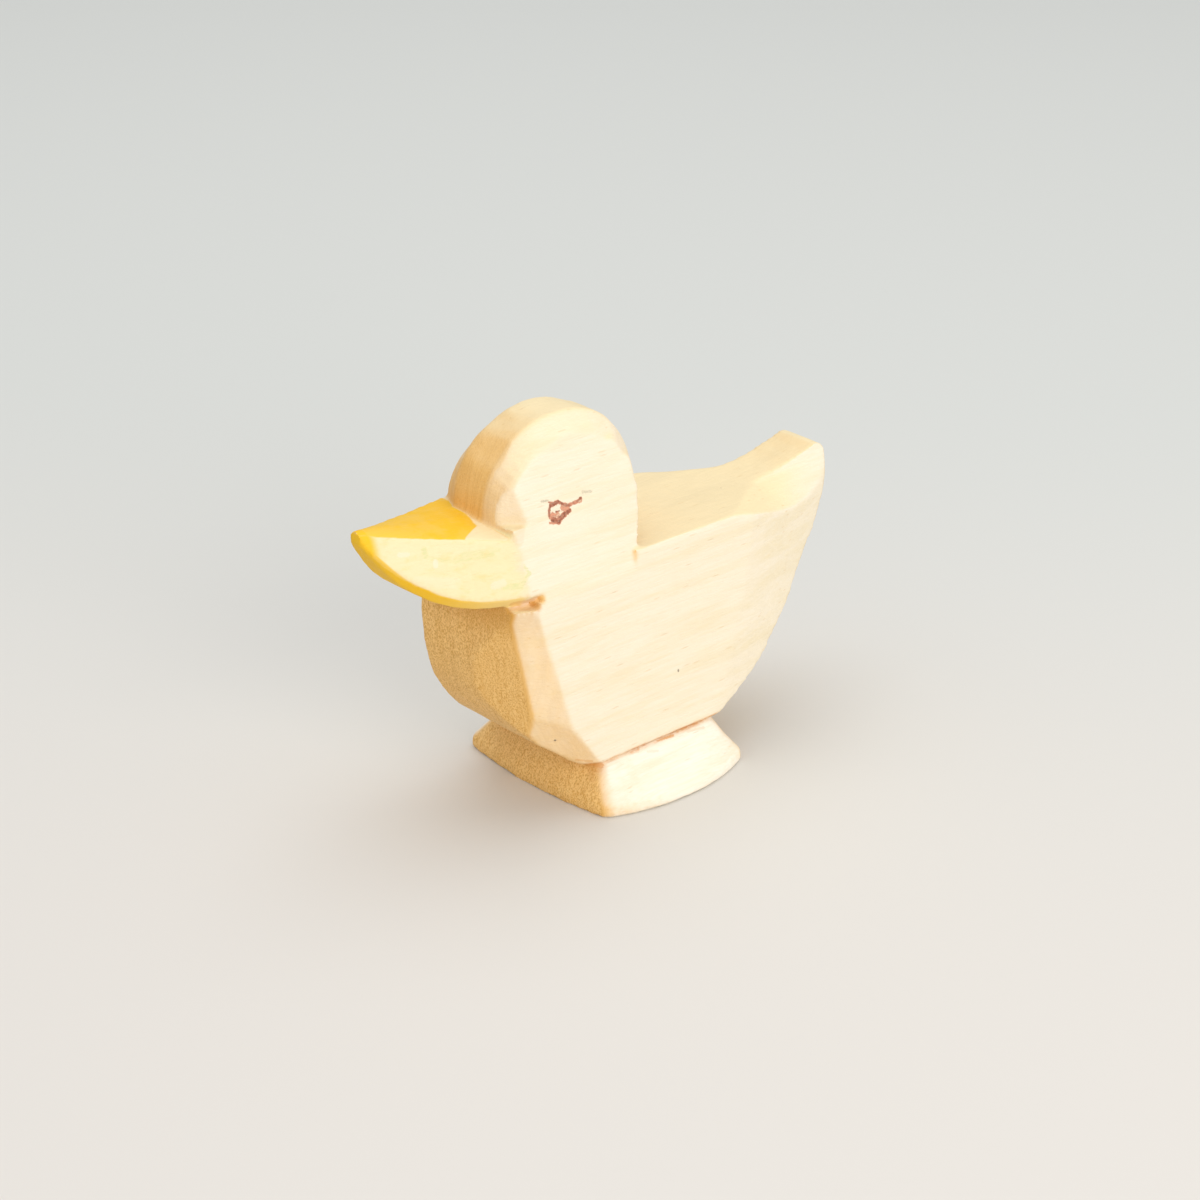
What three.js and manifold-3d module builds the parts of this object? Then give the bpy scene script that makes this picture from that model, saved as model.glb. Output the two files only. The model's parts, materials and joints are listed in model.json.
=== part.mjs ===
// A duckling figurine, carved from one board of pale wood and stood on a flared foot block.
// Millimetres, +Z up. The duckling faces -Y and its left flank is at +X. The origin is the
// middle of the flat face that it stands on. Side outlines are drawn as (y, z), plan outlines
// as (x, y), so a shape reads as it would be drawn on the board.
import * as THREE from 'three';
import { mergeVertices } from 'three/addons/utils/BufferGeometryUtils.js';
import Module from 'manifold-3d';

const wasm = await Module();
wasm.setup();

// Body: half widths of the leaning flanks, the seam above the foot block and the level back
const FLANK = 8.4;
const SHOULDER = 7.8;
const SEAM = 4.85;
const BACK = 26;

// Chest and belly in side view: where the belly starts, and the fullest point of the chest
const BELLY_FRONT = -9.7;
const BELLY_REACH = 5.9;
const BELLY_RISE = 3.1;
const CHEST_FRONT = -18.3;
const CHEST_FULLEST = 18;
const CHEST_LEAN = 0.5;

// The knife cuts on the corners of the chest and of the belly, a little wider on the left, and
// where a shallow cut on the left half of the chest starts
const CHEST_CUTS = [
  { side: 1, start: 6.6, slant: 0.235, width: 3.7 },
  { side: -1, start: 7, slant: 0.16, width: 3.2 },
];
const CHEST_PARED = 1.9;
const BELLY_CORNER = 11;
const BELLY_CUTS = [
  { side: 1, start: 5.7, front: -16.2, width: 4 },
  { side: -1, start: 6.4, front: -16.7, width: 4.2 },
];
const BELLY_CUT_END = -8;

// Throat: the knife cut under the cheek that parts the beak from the chest
const THROAT = 24;
const KERF = 0.45;
const KERF_END = -15.3;

// Stern: the underside's sweep from the foot block up to the tail
const BODY_REAR = 7.9;
const STERN_Y = 18.2;
const STERN_Z = 11.4;
const STERN_SLOPE = 1.1;

// Tail: the board narrows from the taper's start, and a slice on each side leaves a ridge
const TAPER_START = 7;
const TAPER_CURVE = 1.6;
const TAIL_END = 28.5;
const TAIL_TOP = 27.9;
const TAIL_HALF = 3.4;
const TAIL_CORNER = 1.4;
const SLICE_START = 8.6;
const SLICE_DROP = 2.6;
const RIDGE_START = 18.3;
const RIDGE_HALF = 2.6;

// Head: a long round in side view, on a narrower neck, whose cheeks lean in towards the crown
const HEAD_Y = -8.2;
const HEAD_Z = 31.9;
const HEAD_RADIUS = 8.7;
const HEAD_STRETCH = 0.5;
const NECK_REAR = 5.2;
const NECK_FRONT = 6.5;
const NECK_ROOT = 3;
const CROWN_HALF = 2.2;
const CHEEK_LEAN = 0.28;
const RIM_INSET = 2;
const LEFT_BROW_INSET = 0.4;

// Beak: the stained front of the same board, from the stain's edge to the tip
const STAIN_EDGE = -17.6;
const CHEEK_FRONT = -16.2;
const BEAK_TIP = -30.6;
const BEAK_TIP_HEIGHT = 33.4;
const BEAK_TIP_DEPTH = 1.3;
const BEAK_TIP_HALF = 0.7;
const BEAK_SLOPE = 0.16;
const BEAK_CROWN = 0.45;
const BEAK_ROLL = 0.07;
const BEAK_EDGE = 1.1;
const BEAK_SPREAD = 0.62;

// Foot block
const FOOT_HALF_LENGTH = 10.5;
const FOOT_HALF_WIDTH = 12.7;
const FOOT_END_BULGE = 0.9;
const FOOT_SIDE_BULGE = 1.8;
const FOOT_TOP_BULGE = 0.3;
const FOOT_CORNER = 1;
const FOOT_SOLE = 0.35;
const FOOT_LIP = 1.2;
const FOOT_WAIST = 2.6;
const FOOT_TOP_FRONT = -9;
const FOOT_TOP_REAR = 8.4;
const FOOT_TOP_HALF = 8.2;

// Eye: a painted drop with a bare middle and one lash
const EYE_Y = -11.4;
const EYE_Z = 31.8;
const EYE_RADIUS = 1.2;
const EYE_HOLLOW = 0.5;
const LASH_LENGTH = 1.7;
const LASH_WIDTH = 0.35;
const LASH_SLOPE = 0.3;
const PAINT = 0.2;
const PAINT_GAP = 0.15;

const FAR = 60;
const CURVE_STEPS = 10;
const ROUND_STEPS = 48;
const SLICE_STEPS = 20;
const BEAK_STEPS = 11;

const wood = (color, roughness) => new THREE.MeshStandardMaterial({ color, roughness, metalness: 0 });
const bareWood = wood(0xf3dfb8, 0.62);
const stainedWood = wood(0xf4c94e, 0.5);
const footWood = wood(0xefd9ae, 0.62);
const eyePaint = wood(0x96504a, 0.7);

// A closed three.js geometry as a solid, with its shared corners merged
function solid(geometry) {
  const bare = geometry.index ? geometry.toNonIndexed() : geometry.clone();
  bare.deleteAttribute('normal');
  bare.deleteAttribute('uv');
  const merged = mergeVertices(bare, 1e-4);
  return new wasm.Manifold(new wasm.Mesh({
    numProp: 3,
    vertProperties: new Float32Array(merged.attributes.position.array),
    triVerts: new Uint32Array(merged.index.array),
  }));
}

// A solid as a named mesh
function part(name, body, material) {
  const { vertProperties, triVerts } = body.getMesh();
  const geometry = new THREE.BufferGeometry();
  geometry.setAttribute('position', new THREE.BufferAttribute(vertProperties.slice(), 3));
  geometry.setIndex(new THREE.BufferAttribute(triVerts.slice(), 1));
  geometry.computeVertexNormals();
  const mesh = new THREE.Mesh(geometry, material);
  mesh.name = name;
  return mesh;
}

const box = (x, y, z, ...middle) => solid(new THREE.BoxGeometry(x, y, z).translate(...middle));

// A side outline, drawn as (y, z), sawn through the board's whole thickness
function sawn(outline, half) {
  const geometry = new THREE.ExtrudeGeometry(outline, {
    depth: 2 * half, bevelEnabled: false, curveSegments: CURVE_STEPS,
  });
  geometry.translate(0, 0, -half);
  const [x, y, z] = [[1, 0, 0], [0, 1, 0], [0, 0, 1]].map((axis) => new THREE.Vector3(...axis));
  geometry.applyMatrix4(new THREE.Matrix4().makeBasis(y, z, x));
  return solid(geometry);
}

// A plan outline, drawn as (x, y), cut straight down from top to bottom
function plan(outline, bottom, top) {
  const geometry = new THREE.ExtrudeGeometry(outline, {
    depth: top - bottom, bevelEnabled: false, curveSegments: CURVE_STEPS,
  });
  return solid(geometry.translate(0, 0, bottom));
}

// A closed skin through rings of equally many points, capped at both ends
function loft(rings) {
  const count = rings[0].length;
  const corners = [];
  const wall = (a, b, c) => corners.push(...a, ...b, ...c);
  for (let r = 0; r + 1 < rings.length; r += 1) {
    for (let i = 0; i < count; i += 1) {
      const j = (i + 1) % count;
      wall(rings[r][i], rings[r][j], rings[r + 1][j]);
      wall(rings[r][i], rings[r + 1][j], rings[r + 1][i]);
    }
  }
  const middle = (ring) => [0, 1, 2].map((k) => ring.reduce((sum, p) => sum + p[k], 0) / count);
  const first = rings[0];
  const last = rings[rings.length - 1];
  for (let i = 0; i < count; i += 1) {
    const j = (i + 1) % count;
    wall(middle(first), first[j], first[i]);
    wall(middle(last), last[i], last[j]);
  }
  const geometry = new THREE.BufferGeometry();
  geometry.setAttribute('position', new THREE.Float32BufferAttribute(corners, 3));
  return solid(geometry);
}

// What one straight knife cut through three points takes away: all that lies beyond it
function knife(a, b, c, inside) {
  const plane = new THREE.Plane().setFromCoplanarPoints(
    ...[a, b, c].map((point) => new THREE.Vector3(...point)),
  );
  if (plane.distanceToPoint(new THREE.Vector3(...inside)) > 0) plane.negate();
  const turn = new THREE.Quaternion().setFromUnitVectors(new THREE.Vector3(0, 0, 1), plane.normal);
  const block = new THREE.BoxGeometry(2 * FAR, 2 * FAR, FAR).translate(0, 0, FAR / 2);
  block.applyQuaternion(turn);
  const foot = plane.coplanarPoint(new THREE.Vector3());
  return solid(block.translate(foot.x, foot.y, foot.z));
}

const lerp = THREE.MathUtils.lerp;
const mirrored = (point) => [-point[0], point[1], point[2]];
const inside = [0, 0, CHEST_FULLEST];

// The same knife cut on the left and on the right
const bothSides = (...points) => [knife(...points, inside), knife(...points.map(mirrored), inside)];

// Half widths of the board at a height: the flanks lean in a little, the cheeks more
const flank = (z) => lerp(FLANK, SHOULDER, (z - SEAM) / (THROAT - SEAM));
const cheek = (z) => SHOULDER - CHEEK_LEAN * (z - THROAT);

// Half width of the board in plan, full as far as the taper's start
function taper(y) {
  const share = Math.max(0, y - TAPER_START) / (TAIL_END - TAPER_START);
  return lerp(FLANK, TAIL_HALF, share ** TAPER_CURVE);
}

// Torso and tail: sawn in side view, tapered in plan, then cut with the knife
function torso() {
  const side = new THREE.Shape();
  side.moveTo(BELLY_FRONT, SEAM);
  side.bezierCurveTo(
    BELLY_FRONT - BELLY_REACH, SEAM + BELLY_RISE,
    CHEST_FRONT, (SEAM + 2 * CHEST_FULLEST) / 3.2,
    CHEST_FRONT, CHEST_FULLEST,
  );
  side.quadraticCurveTo(CHEST_FRONT, (CHEST_FULLEST + THROAT) / 2, CHEST_FRONT + CHEST_LEAN, THROAT - KERF);
  side.lineTo(KERF_END, THROAT - KERF);
  side.lineTo(KERF_END, THROAT);
  side.lineTo(HEAD_Y + NECK_REAR, THROAT);
  side.lineTo(HEAD_Y + NECK_REAR, BACK);
  side.lineTo(lerp(HEAD_Y, RIDGE_START, 0.8), BACK);
  side.bezierCurveTo(
    RIDGE_START, BACK,
    lerp(RIDGE_START, TAIL_END, 0.36), BACK + 0.3,
    TAIL_END - TAIL_CORNER, TAIL_TOP,
  );
  side.quadraticCurveTo(TAIL_END, TAIL_TOP, TAIL_END, TAIL_TOP - TAIL_CORNER);
  side.bezierCurveTo(
    TAIL_END, (BACK + TAIL_TOP) / 2 - 4,
    STERN_Y + 4.6, STERN_Z + 4.6 * STERN_SLOPE,
    STERN_Y, STERN_Z,
  );
  side.bezierCurveTo(
    STERN_Y - 2.4, STERN_Z - 2.4 * STERN_SLOPE,
    BODY_REAR + 3.7, SEAM + 1.5,
    BODY_REAR, SEAM,
  );

  const edge = (cut, z) => [cut.side * cut.start, CHEST_FRONT + cut.slant * (THROAT - z), z];
  const [left] = CHEST_CUTS;
  const cuts = [
    ...CHEST_CUTS.map((cut) => {
      const low = edge(cut, BELLY_CORNER);
      return knife(edge(cut, THROAT), low, [cut.side * FLANK, low[1] + cut.width, BELLY_CORNER], inside);
    }),
    knife([CHEST_PARED, CHEST_FRONT, CHEST_FULLEST], edge(left, CHEST_FULLEST), edge(left, BELLY_CORNER), inside),
    ...BELLY_CUTS.map((cut) => knife(
      [cut.side * cut.start, cut.front, BELLY_CORNER],
      [cut.side * FLANK, cut.front + cut.width, BELLY_CORNER],
      [cut.side * FLANK, BELLY_CUT_END, SEAM],
      inside,
    )),
    tailSlice(1),
    tailSlice(-1),
  ];
  return cuts.reduce((body, cut) => body.subtract(cut), sawn(side, FLANK).intersect(plan(tapered(), 0, FAR)));
}

// The board's outline in plan, with the tail's end rounded off
function tapered() {
  const steps = Array.from({ length: SLICE_STEPS + 1 }, (_, i) => (
    lerp(TAPER_START, TAIL_END - TAIL_CORNER, i / SLICE_STEPS)
  ));
  const nearEnd = steps.map((y) => new THREE.Vector2(taper(y), y));
  const outline = new THREE.Shape();
  outline.moveTo(-FLANK, -FAR);
  outline.lineTo(FLANK, -FAR);
  nearEnd.forEach((p) => outline.lineTo(p.x, p.y));
  outline.quadraticCurveTo(TAIL_HALF, TAIL_END, TAIL_HALF - TAIL_CORNER, TAIL_END);
  outline.lineTo(TAIL_CORNER - TAIL_HALF, TAIL_END);
  const farStart = nearEnd[nearEnd.length - 1];
  outline.quadraticCurveTo(-TAIL_HALF, TAIL_END, -farStart.x, farStart.y);
  nearEnd.reverse().forEach((p) => outline.lineTo(-p.x, p.y));
  return outline;
}

// The long slice that narrows the level back into the tail's ridge, on one side
function tailSlice(side) {
  const end = TAIL_END + 1;
  const sections = Array.from({ length: SLICE_STEPS + 1 }, (_, i) => {
    const share = i / SLICE_STEPS;
    const y = lerp(SLICE_START, end, share);
    const along = Math.min(1, (y - SLICE_START) / (RIDGE_START - SLICE_START));
    const climb = Math.max(0, y - RIDGE_START) / (end - RIDGE_START);
    const inner = [lerp(FLANK, RIDGE_HALF, along), lerp(BACK, TAIL_TOP, climb ** 1.5)];
    const outer = [taper(y), BACK - SLICE_DROP * Math.sin(Math.PI * share ** 1.6)];
    const beyond = [0, 1].map((k) => outer[k] + 2 * (outer[k] - inner[k]));
    beyond[0] += 1;
    const top = TAIL_TOP + 4;
    const ring = [inner, [inner[0], top], [beyond[0], top], beyond, outer];
    return ring.map(([x, z]) => [side * x, y, z]);
  });
  return loft(side > 0 ? sections : sections.map((ring) => ring.reverse()));
}

// One outline of the head in side view, drawn in by an inset: a round above, a neck below
function headRing(inset, across) {
  const quarter = Math.PI / 2;
  return Array.from({ length: ROUND_STEPS }, (_, i) => {
    const angle = (2 * Math.PI * (i + 0.5)) / ROUND_STEPS;
    const radius = HEAD_RADIUS + HEAD_STRETCH * Math.cos(2 * angle) - inset(angle);
    if (angle < 2 * quarter) {
      const z = HEAD_Z + radius * Math.sin(angle);
      return [across(z), HEAD_Y + radius * Math.cos(angle), z];
    }
    const ahead = angle < 3 * quarter;
    const depth = ahead ? angle / quarter - 2 : 4 - angle / quarter;
    const neck = ahead ? NECK_FRONT : NECK_REAR;
    const reach = neck + (radius - neck) * Math.cos(depth * quarter) ** 2;
    const z = lerp(HEAD_Z, THROAT - NECK_ROOT, depth);
    return [across(z), HEAD_Y + (ahead ? -reach : reach), z];
  });
}

// Head: full at the crown's strip and drawn in at the cheeks, but little at the left brow
function head() {
  const full = () => 0;
  const rightRim = () => RIM_INSET;
  const leftRim = (angle) => lerp(RIM_INSET, LEFT_BROW_INSET, Math.max(0, -Math.cos(angle)) ** 6);
  return loft([
    headRing(rightRim, (z) => -cheek(z)),
    headRing(full, () => -CROWN_HALF),
    headRing(full, () => CROWN_HALF),
    headRing(leftRim, cheek),
  ]);
}

// Beak: sections along its length, close together at the rounded tip, whose top leans to the left
function bill() {
  const stations = Array.from({ length: BEAK_STEPS }, (_, i) => (i / (BEAK_STEPS - 1)) ** 1.7);
  const section = (share, y) => {
    const top = BEAK_TIP_HEIGHT - BEAK_SLOPE * (y - BEAK_TIP);
    const bottom = lerp(THROAT, BEAK_TIP_HEIGHT - BEAK_TIP_DEPTH, (1 - share) ** 3);
    const wide = lerp(BEAK_TIP_HALF, cheek(top), share);
    const roof = [1, 0.5, 0, -0.5, -1].map((k) => {
      const z = top - BEAK_CROWN * k * k - BEAK_ROLL * k * wide;
      return [k * lerp(BEAK_TIP_HALF, cheek(z), share), z];
    });
    const low = lerp(BEAK_TIP_HALF, cheek(bottom + BEAK_EDGE), share ** BEAK_SPREAD);
    const edge = Math.min(BEAK_EDGE, low * 0.3, (top - bottom) * 0.3);
    const lip = [[low - edge, bottom], [low, bottom + edge]];
    const farLip = [[-low, bottom + edge], [edge - low, bottom]];
    return [...lip, ...roof, ...farLip].map(([x, z]) => [x, y, z]).reverse();
  };
  const ahead = stations.map((share) => section(share, lerp(BEAK_TIP, CHEEK_FRONT, share)));
  return loft([...ahead, section(1, HEAD_Y - HEAD_RADIUS / 2)]);
}

// Foot block: four bowed sides and round corners, drawn in from the lip up to the seam
function foot() {
  const lowRing = footRing(FOOT_HALF_WIDTH, -FOOT_HALF_LENGTH, FOOT_HALF_LENGTH, FOOT_SIDE_BULGE);
  const highRing = footRing(FOOT_TOP_HALF, FOOT_TOP_FRONT, FOOT_TOP_REAR, FOOT_TOP_BULGE);
  const level = (share, z) => lowRing.map((p, i) => [
    lerp(p[0], highRing[i][0], share), lerp(p[1], highRing[i][1], share), z,
  ]);
  return loft([
    level(0.06, 0), level(0, FOOT_SOLE), level(0.04, FOOT_LIP), level(0.45, FOOT_WAIST), level(1, SEAM),
  ]);
}

// One outline of the foot block, with the same number of points whatever its size
function footRing(halfWidth, front, rear, sideBulge) {
  const [middle, half] = [(front + rear) / 2, (rear - front) / 2];
  const [x, y] = [halfWidth - sideBulge, half - FOOT_END_BULGE];
  const bend = [x - 0.4 * FOOT_CORNER, y - 0.1 * FOOT_CORNER];
  const shape = new THREE.Shape();
  const corners = [[1, -1], [1, 1], [-1, 1], [-1, -1]];
  shape.moveTo(FOOT_CORNER - x, middle - y);
  corners.forEach(([sx, sy], i) => {
    const ontoSide = i % 2 === 0;
    const endStart = [sx * (x - FOOT_CORNER), middle + sy * y];
    const sideStart = [sx * x, middle + sy * (y - FOOT_CORNER)];
    const [from, to] = ontoSide ? [endStart, sideStart] : [sideStart, endStart];
    const bulge = ontoSide
      ? [0, middle + sy * (half + FOOT_END_BULGE)]
      : [sx * (halfWidth + sideBulge), middle];
    shape.quadraticCurveTo(...bulge, ...from);
    shape.quadraticCurveTo(sx * bend[0], middle + sy * bend[1], ...to);
  });
  const points = shape.getPoints(CURVE_STEPS);
  return points.slice(0, -1).map((p) => [p.x, p.y]);
}

// The eye's paint: a drop with a bare middle and a lash towards the back of the head
function eyeOutline() {
  const drop = new THREE.Shape();
  const lashEnd = EYE_RADIUS + LASH_LENGTH;
  drop.moveTo(EYE_RADIUS * Math.cos(0.3 * Math.PI), EYE_RADIUS * Math.sin(0.3 * Math.PI));
  drop.absarc(0, 0, EYE_RADIUS, 0.3 * Math.PI, 1.15 * Math.PI, false);
  drop.quadraticCurveTo(-0.8 * EYE_RADIUS, -1.4 * EYE_RADIUS, -0.2 * EYE_RADIUS, -1.35 * EYE_RADIUS);
  drop.quadraticCurveTo(0.9 * EYE_RADIUS, -0.8 * EYE_RADIUS, EYE_RADIUS, 0);
  drop.lineTo(lashEnd, LASH_SLOPE * LASH_LENGTH);
  drop.lineTo(lashEnd, LASH_SLOPE * LASH_LENGTH + LASH_WIDTH);
  const hollow = new THREE.Path();
  hollow.absarc(0, 0, EYE_HOLLOW, 0, 2 * Math.PI, true);
  drop.holes.push(hollow);
  return drop;
}

// An eye lies along its cheek, a hair's breadth clear of the wood
function eye(name, side) {
  const geometry = new THREE.ExtrudeGeometry(eyeOutline(), {
    depth: PAINT, bevelEnabled: false, curveSegments: CURVE_STEPS,
  });
  const lean = Math.atan(CHEEK_LEAN);
  const back = new THREE.Vector3(0, 1, 0);
  const up = new THREE.Vector3(-Math.sin(lean), 0, Math.cos(lean));
  const out = new THREE.Vector3().crossVectors(back, up);
  geometry.applyMatrix4(new THREE.Matrix4().makeBasis(back, up, out));
  const seat = out.clone().multiplyScalar(PAINT_GAP);
  geometry.translate(cheek(EYE_Z) + seat.x, EYE_Y, EYE_Z + seat.z);
  const left = solid(geometry);
  return part(name, side > 0 ? left : left.mirror([1, 0, 0]), eyePaint);
}

const planed = (body) => bothSides(
  [flank(SEAM), 0, SEAM],
  [flank(SEAM), TAPER_START, SEAM],
  [flank(THROAT), 0, THROAT],
).reduce((rest, cut) => rest.subtract(cut), body);
const upper = planed(head().add(bill()));
const stained = box(2 * FAR, FAR, 2 * FAR, 0, STAIN_EDGE - FAR / 2, 0);

const duckling = new THREE.Group();
duckling.add(
  part('body', upper.subtract(stained).add(planed(torso())), bareWood),
  part('beak', upper.intersect(stained), stainedWood),
  part('base', foot(), footWood),
  eye('left_eye', 1),
  eye('right_eye', -1),
);

export default duckling;
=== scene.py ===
"""A knife-carved duckling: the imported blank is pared, softened, stained and painted, then lit.

The frame's solids are the sawn blanks. Each piece starts from a copy of its blank, takes the
shallow knife cuts that the blank leaves out, and is softened as handled wood is. Sizes are in
metres, in the frame's own axes: the beak points along -Y and the left flank is at +X.
"""

import json
import math
import random

import bpy
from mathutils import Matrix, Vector
from mathutils.geometry import intersect_point_line

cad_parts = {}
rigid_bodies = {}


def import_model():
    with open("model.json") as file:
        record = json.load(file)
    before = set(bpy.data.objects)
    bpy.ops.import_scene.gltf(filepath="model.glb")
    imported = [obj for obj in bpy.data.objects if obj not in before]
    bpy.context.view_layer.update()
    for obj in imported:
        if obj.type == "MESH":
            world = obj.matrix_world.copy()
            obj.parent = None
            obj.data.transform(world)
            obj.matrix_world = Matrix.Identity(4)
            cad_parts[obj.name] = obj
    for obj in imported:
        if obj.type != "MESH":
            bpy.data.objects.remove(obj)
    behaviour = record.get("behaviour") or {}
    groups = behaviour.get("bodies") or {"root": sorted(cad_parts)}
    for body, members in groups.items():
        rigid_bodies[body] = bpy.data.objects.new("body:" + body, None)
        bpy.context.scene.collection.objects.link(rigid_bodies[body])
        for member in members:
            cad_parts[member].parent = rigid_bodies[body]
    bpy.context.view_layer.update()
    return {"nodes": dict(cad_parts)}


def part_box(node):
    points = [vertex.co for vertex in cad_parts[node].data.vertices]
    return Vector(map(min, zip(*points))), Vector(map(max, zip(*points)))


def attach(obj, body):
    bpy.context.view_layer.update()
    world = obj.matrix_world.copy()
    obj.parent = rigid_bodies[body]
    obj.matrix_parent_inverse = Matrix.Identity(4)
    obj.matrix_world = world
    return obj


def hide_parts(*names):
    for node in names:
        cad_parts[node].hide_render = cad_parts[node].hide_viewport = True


bl_info = {
    "name": "Carved Duckling",
    "version": (1, 0, 0),
    "blender": (4, 5, 0),
    "location": "3D View > Sidebar > Duckling",
    "description": "Carves, stains and paints a small wooden duckling round its packed frame",
    "category": "Add Mesh",
}

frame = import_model()
MM = 0.001

# Places that the frame gives
STAIN_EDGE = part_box("beak")[1][1]
BEAK_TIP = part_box("beak")[0][1]
BEAK_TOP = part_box("beak")[1][2]
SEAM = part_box("base")[1][2]
BEAK_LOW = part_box("beak")[0][2]
THROAT = BEAK_LOW - 0.2 * MM
HEAD_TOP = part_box("body")[1][2]

# The head's round in side view, and its half widths at the crown's strip and at the cheek
HEAD_Y = -8.2 * MM
HEAD_Z = 31.9 * MM
HEAD_RADIUS = HEAD_TOP - HEAD_Z
CROWN_HALF = 2.2 * MM
CHEEK_AT_HEAD = 5.6 * MM
CHEEK_SLOPE = 0.28
RIM_INSET = 2 * MM
HEAD_OVAL = 0.5 * MM

# The beak's top falls by this share towards the root. Its lower edge climbs by this rise from the
# head's front to the tip.
BEAK_SLOPE = 0.16
HEAD_FRONT = -16.2 * MM
LIP_RISE = 8.1 * MM

# Knife cuts on the head: turns in degrees from straight behind, and sizes along and across
FIRST_CUT = -4
CROWN_CUTS = 8
CROWN_TURN = 23.5
CROWN_CUT_SIZE = (6 * MM, 4.4 * MM)
RIM_CUTS = ((1, 6), (-1, 7))
RIM_TURN = 21
RIM_CUT_SIZE = (5.2 * MM, 4.4 * MM)
CUT_DEPTHS = (0.02, 0.07)
BROW_CUT = ((4.55, -16.1, 33.4), (0.77, -0.64, 0.04))
BROW_CUT_SIZE = (5 * MM, 4.2 * MM)

# Knife cuts on the chest, from the top down, and under the stern: places, ways they face, sizes
TORSO_CUTS = (
    ((0, -18.32, 20.6), (0, -1, 0.03), 20, 6),
    ((0, -17.95, 15.2), (0, -1, -0.2), 20, 6),
    ((0, -16.45, 11.0), (0, -1, -0.62), 20, 5.4),
    ((0, -13.3, 7.4), (0, -1, -1.35), 20, 5.4),
    ((0, 14.0, 7.85), (0, 0.62, -1), 20, 6),
    ((0, 18.3, 11.7), (0, 1, -1.12), 20, 6),
    ((0, 22.4, 16.6), (0, 1, -0.78), 20, 6),
)

# Heights and widths in millimetres between which the wood's colour changes
SPECKLE_ENDS = (25, 28)
# Painted light: heights over which the head's faces turned to the key light are painted paler
HEAD_PAINTED_LIGHT = (27, 30)
# Grime and painted shade: heights over which the chest darkens under the beak
THROAT_GRIME_AND_SHADE = (19.5, 23.6)
# Painted shade: heights over which the top of the foot's front darkens under the belly
FOOT_FRONT_PAINTED_SHADE = (3.2, 4.7)
LIP_BAND = (1.1, 0.75)

# The stain's border on the beak's top runs ahead by this share of the way to the left, and by the
# second share more past its corner
STAIN_SLANT = 0.27
STAIN_CORNER = 1.35

# What is left of the end grain's and the edge grain's colour where they are darkest
DARK_ENDS = (0.69, 0.57, 0.3, 1)
DARK_EDGE = (0.86, 0.86, 0.86, 1)

# The way across the floor, and the millimetres along it between which the floor's colour changes
FLOOR_WAY = (-0.669, 0.743, 0)
FLOOR_CHANGES = (-60, 120)

# Farther out than any part of the duckling, how near two corners are welded, and the turn past
# which an edge stays sharp
FAR = 0.1
WELD = 0.002 * MM
SHARP_EDGE = math.radians(40)

# Where the brush touched a cheek, as (depth, height) in millimetres, with widths and strengths
EYE_STROKES = (
    ((-12.11, 32.8), (-11.64, 32.66), 0.07, 0.8),
    ((-11.94, 32.45), (-11.06, 32.57), 0.19, 0.95),
    ((-11.05, 32.59), (-10.37, 32.16), 0.14, 0.9),
    ((-10.37, 32.16), (-9.79, 31.91), 0.16, 0.8),
    ((-10.56, 31.91), (-10.06, 31.62), 0.3, 0.55),
    ((-9.79, 31.92), (-9.13, 32.0), 0.16, 0.7),
    ((-9.13, 32.0), (-8.74, 32.0), 0.16, 0.75),
    ((-8.74, 32.03), (-8.21, 32.22), 0.12, 1.0),
    ((-8.47, 31.93), (-8.23, 31.99), 0.14, 0.4),
    ((-11.93, 32.5), (-12.22, 32.05), 0.14, 0.85),
    ((-12.22, 32.05), (-12.32, 31.6), 0.14, 0.8),
    ((-12.25, 31.51), (-11.95, 31.2), 0.22, 0.62),
    ((-11.96, 31.13), (-11.35, 30.8), 0.27, 0.95),
    ((-12.42, 30.94), (-11.74, 30.75), 0.1, 0.6),
    ((-11.42, 30.89), (-10.47, 31.26), 0.26, 1.0),
    ((-10.47, 31.26), (-9.82, 31.44), 0.2, 0.9),
    ((-11.89, 31.68), (-11.58, 31.41), 0.16, 0.62),
    ((-11.3, 31.48), (-11.22, 31.32), 0.22, 0.45),
    ((-11.49, 31.73), (-10.98, 31.71), 0.06, 0.9),
)
PENCIL_STROKES = (
    ((-12.95, 33.08), (-12.16, 32.96), 0.1, 0.3),
    ((-7.93, 32.69), (-6.87, 32.51), 0.12, 0.22),
)

# The film that holds an eye's strokes, how many of its widths a stroke reaches from its line, and
# how far in millimetres the hand shakes
EYE_MIDDLE = (-9.9, 31.9)
EYE_FILM = (3.8 * MM, 7.2 * MM)
EYE_FILM_CELLS = (56, 112)
FILM_START = 0.5 * MM
FILM_GAP = 0.02 * MM
STROKE_REACH = 1.35
EYE_SHAKE = 0.3

# Small marks on the wood, from and to points in millimetres, with widths and strengths
BODY_RUST = (
    ((8.4, -0.84, 4.95), (8.4, 1.5, 4.9), 0.14, 1.0),
    ((8.4, 5.99, 4.95), (8.38, 7.53, 4.95), 0.12, 0.9),
    ((7.17, -10.39, 5.68), (7.92, -9.04, 5.33), 0.15, 0.5),
    ((5.5, -15.2, 9.42), (5.68, -14.97, 9.16), 0.15, 0.35),
    ((5.5, -16.46, 32.28), (5.75, -15.9, 31.32), 0.5, 0.16),
    ((5.75, -15.9, 31.32), (6.02, -16.33, 30.35), 0.5, 0.13),
)
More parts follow.
